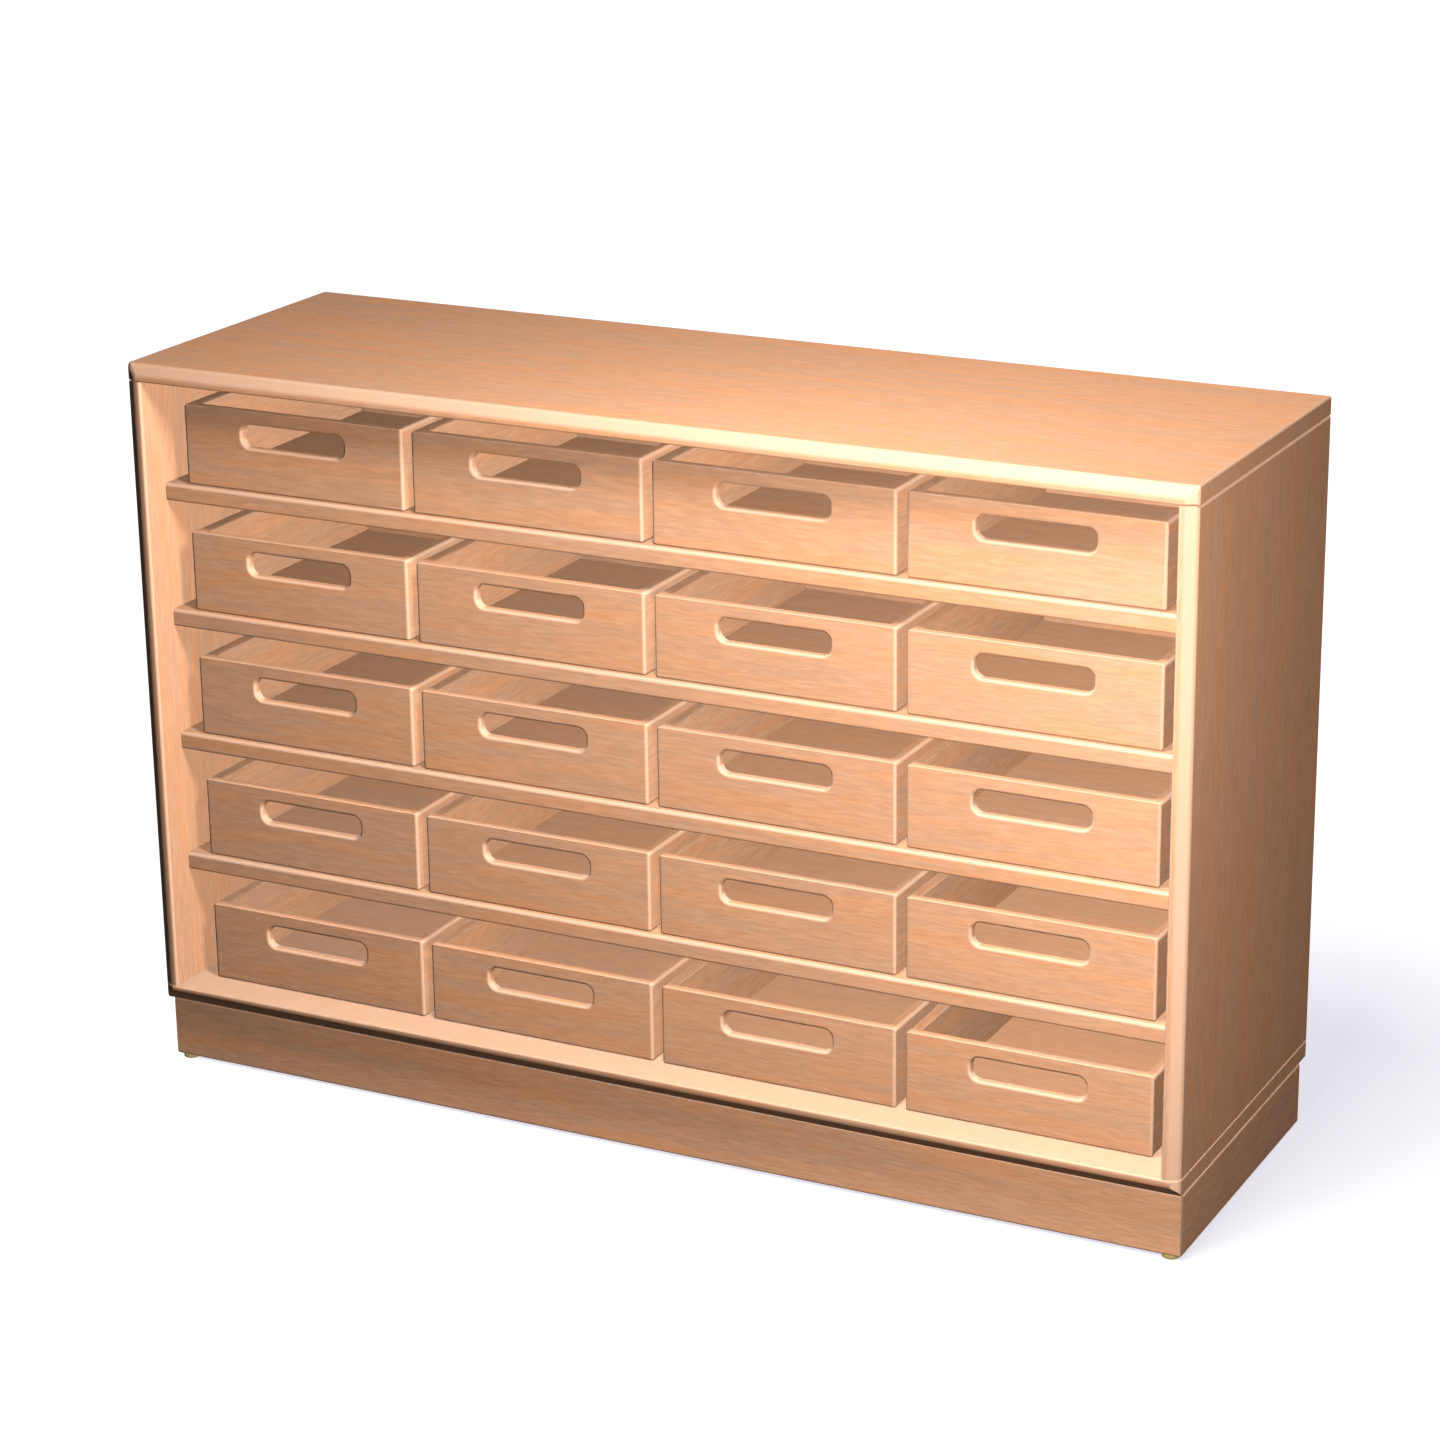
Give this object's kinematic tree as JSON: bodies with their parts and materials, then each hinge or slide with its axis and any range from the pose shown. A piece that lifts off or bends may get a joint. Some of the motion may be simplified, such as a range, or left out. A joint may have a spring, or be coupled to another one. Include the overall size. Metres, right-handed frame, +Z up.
{
  "type": "tray storage unit",
  "caption": "Low beech classroom storage unit: an open-fronted case on a plinth, with fixed shelves and rows of loose open-topped wooden trays that slide out by a grip slot.",
  "frame": {"origin": "on the floor, under the middle of the case", "axes": "+X to the right of someone facing the front, -Y out of the open front, +Z up"},
  "size_m": [1.2, 0.39, 0.8],
  "materials": {
    "case_beech": "satin lacquer",
    "tray_beech": "satin lacquer",
    "back_ply": "satin lacquer",
    "tray_base_ply": "satin lacquer",
    "glide_nylon": "moulded"
  },
  "bodies": {
    "case": {"top_panel": "case_beech", "bottom_panel": "case_beech", "left_side": "case_beech", "right_side": "case_beech", "back_panel": "back_ply", "shelf_1": "case_beech", "shelf_2": "case_beech", "shelf_3": "case_beech", "shelf_4": "case_beech", "plinth_front": "case_beech", "plinth_back": "case_beech", "plinth_left": "case_beech", "plinth_right": "case_beech", "plinth_cross_1": "case_beech", "plinth_cross_2": "case_beech", "glide_front_left": "glide_nylon", "glide_front_right": "glide_nylon", "glide_back_left": "glide_nylon", "glide_back_right": "glide_nylon"},
    "tray_r1c1": {"tray_r1c1_box": "tray_beech", "tray_r1c1_base": "tray_base_ply"},
    "tray_r1c2": {"tray_r1c2_box": "tray_beech", "tray_r1c2_base": "tray_base_ply"},
    "tray_r1c3": {"tray_r1c3_box": "tray_beech", "tray_r1c3_base": "tray_base_ply"},
    "tray_r1c4": {"tray_r1c4_box": "tray_beech", "tray_r1c4_base": "tray_base_ply"},
    "tray_r2c1": {"tray_r2c1_box": "tray_beech", "tray_r2c1_base": "tray_base_ply"},
    "tray_r2c2": {"tray_r2c2_box": "tray_beech", "tray_r2c2_base": "tray_base_ply"},
    "tray_r2c3": {"tray_r2c3_box": "tray_beech", "tray_r2c3_base": "tray_base_ply"},
    "tray_r2c4": {"tray_r2c4_box": "tray_beech", "tray_r2c4_base": "tray_base_ply"},
    "tray_r3c1": {"tray_r3c1_box": "tray_beech", "tray_r3c1_base": "tray_base_ply"},
    "tray_r3c2": {"tray_r3c2_box": "tray_beech", "tray_r3c2_base": "tray_base_ply"},
    "tray_r3c3": {"tray_r3c3_box": "tray_beech", "tray_r3c3_base": "tray_base_ply"},
    "tray_r3c4": {"tray_r3c4_box": "tray_beech", "tray_r3c4_base": "tray_base_ply"},
    "tray_r4c1": {"tray_r4c1_box": "tray_beech", "tray_r4c1_base": "tray_base_ply"},
    "tray_r4c2": {"tray_r4c2_box": "tray_beech", "tray_r4c2_base": "tray_base_ply"},
    "tray_r4c3": {"tray_r4c3_box": "tray_beech", "tray_r4c3_base": "tray_base_ply"},
    "tray_r4c4": {"tray_r4c4_box": "tray_beech", "tray_r4c4_base": "tray_base_ply"},
    "tray_r5c1": {"tray_r5c1_box": "tray_beech", "tray_r5c1_base": "tray_base_ply"},
    "tray_r5c2": {"tray_r5c2_box": "tray_beech", "tray_r5c2_base": "tray_base_ply"},
    "tray_r5c3": {"tray_r5c3_box": "tray_beech", "tray_r5c3_base": "tray_base_ply"},
    "tray_r5c4": {"tray_r5c4_box": "tray_beech", "tray_r5c4_base": "tray_base_ply"}
  },
  "joints": [
    {"name": "tray_r1c1_slide", "type": "slide", "parent": "case", "child": "tray_r1c1", "axis": [0, -1, 0], "range_m": [0, 0.25]},
    {"name": "tray_r1c2_slide", "type": "slide", "parent": "case", "child": "tray_r1c2", "axis": [0, -1, 0], "range_m": [0, 0.25]},
    {"name": "tray_r1c3_slide", "type": "slide", "parent": "case", "child": "tray_r1c3", "axis": [0, -1, 0], "range_m": [0, 0.25]},
    {"name": "tray_r1c4_slide", "type": "slide", "parent": "case", "child": "tray_r1c4", "axis": [0, -1, 0], "range_m": [0, 0.25]},
    {"name": "tray_r2c1_slide", "type": "slide", "parent": "case", "child": "tray_r2c1", "axis": [0, -1, 0], "range_m": [0, 0.25]},
    {"name": "tray_r2c2_slide", "type": "slide", "parent": "case", "child": "tray_r2c2", "axis": [0, -1, 0], "range_m": [0, 0.25]},
    {"name": "tray_r2c3_slide", "type": "slide", "parent": "case", "child": "tray_r2c3", "axis": [0, -1, 0], "range_m": [0, 0.25]},
    {"name": "tray_r2c4_slide", "type": "slide", "parent": "case", "child": "tray_r2c4", "axis": [0, -1, 0], "range_m": [0, 0.25]},
    {"name": "tray_r3c1_slide", "type": "slide", "parent": "case", "child": "tray_r3c1", "axis": [0, -1, 0], "range_m": [0, 0.25]},
    {"name": "tray_r3c2_slide", "type": "slide", "parent": "case", "child": "tray_r3c2", "axis": [0, -1, 0], "range_m": [0, 0.25]},
    {"name": "tray_r3c3_slide", "type": "slide", "parent": "case", "child": "tray_r3c3", "axis": [0, -1, 0], "range_m": [0, 0.25]},
    {"name": "tray_r3c4_slide", "type": "slide", "parent": "case", "child": "tray_r3c4", "axis": [0, -1, 0], "range_m": [0, 0.25]},
    {"name": "tray_r4c1_slide", "type": "slide", "parent": "case", "child": "tray_r4c1", "axis": [0, -1, 0], "range_m": [0, 0.25]},
    {"name": "tray_r4c2_slide", "type": "slide", "parent": "case", "child": "tray_r4c2", "axis": [0, -1, 0], "range_m": [0, 0.25]},
    {"name": "tray_r4c3_slide", "type": "slide", "parent": "case", "child": "tray_r4c3", "axis": [0, -1, 0], "range_m": [0, 0.25]},
    {"name": "tray_r4c4_slide", "type": "slide", "parent": "case", "child": "tray_r4c4", "axis": [0, -1, 0], "range_m": [0, 0.25]},
    {"name": "tray_r5c1_slide", "type": "slide", "parent": "case", "child": "tray_r5c1", "axis": [0, -1, 0], "range_m": [0, 0.25]},
    {"name": "tray_r5c2_slide", "type": "slide", "parent": "case", "child": "tray_r5c2", "axis": [0, -1, 0], "range_m": [0, 0.25]},
    {"name": "tray_r5c3_slide", "type": "slide", "parent": "case", "child": "tray_r5c3", "axis": [0, -1, 0], "range_m": [0, 0.25]},
    {"name": "tray_r5c4_slide", "type": "slide", "parent": "case", "child": "tray_r5c4", "axis": [0, -1, 0], "range_m": [0, 0.25]}
  ]
}
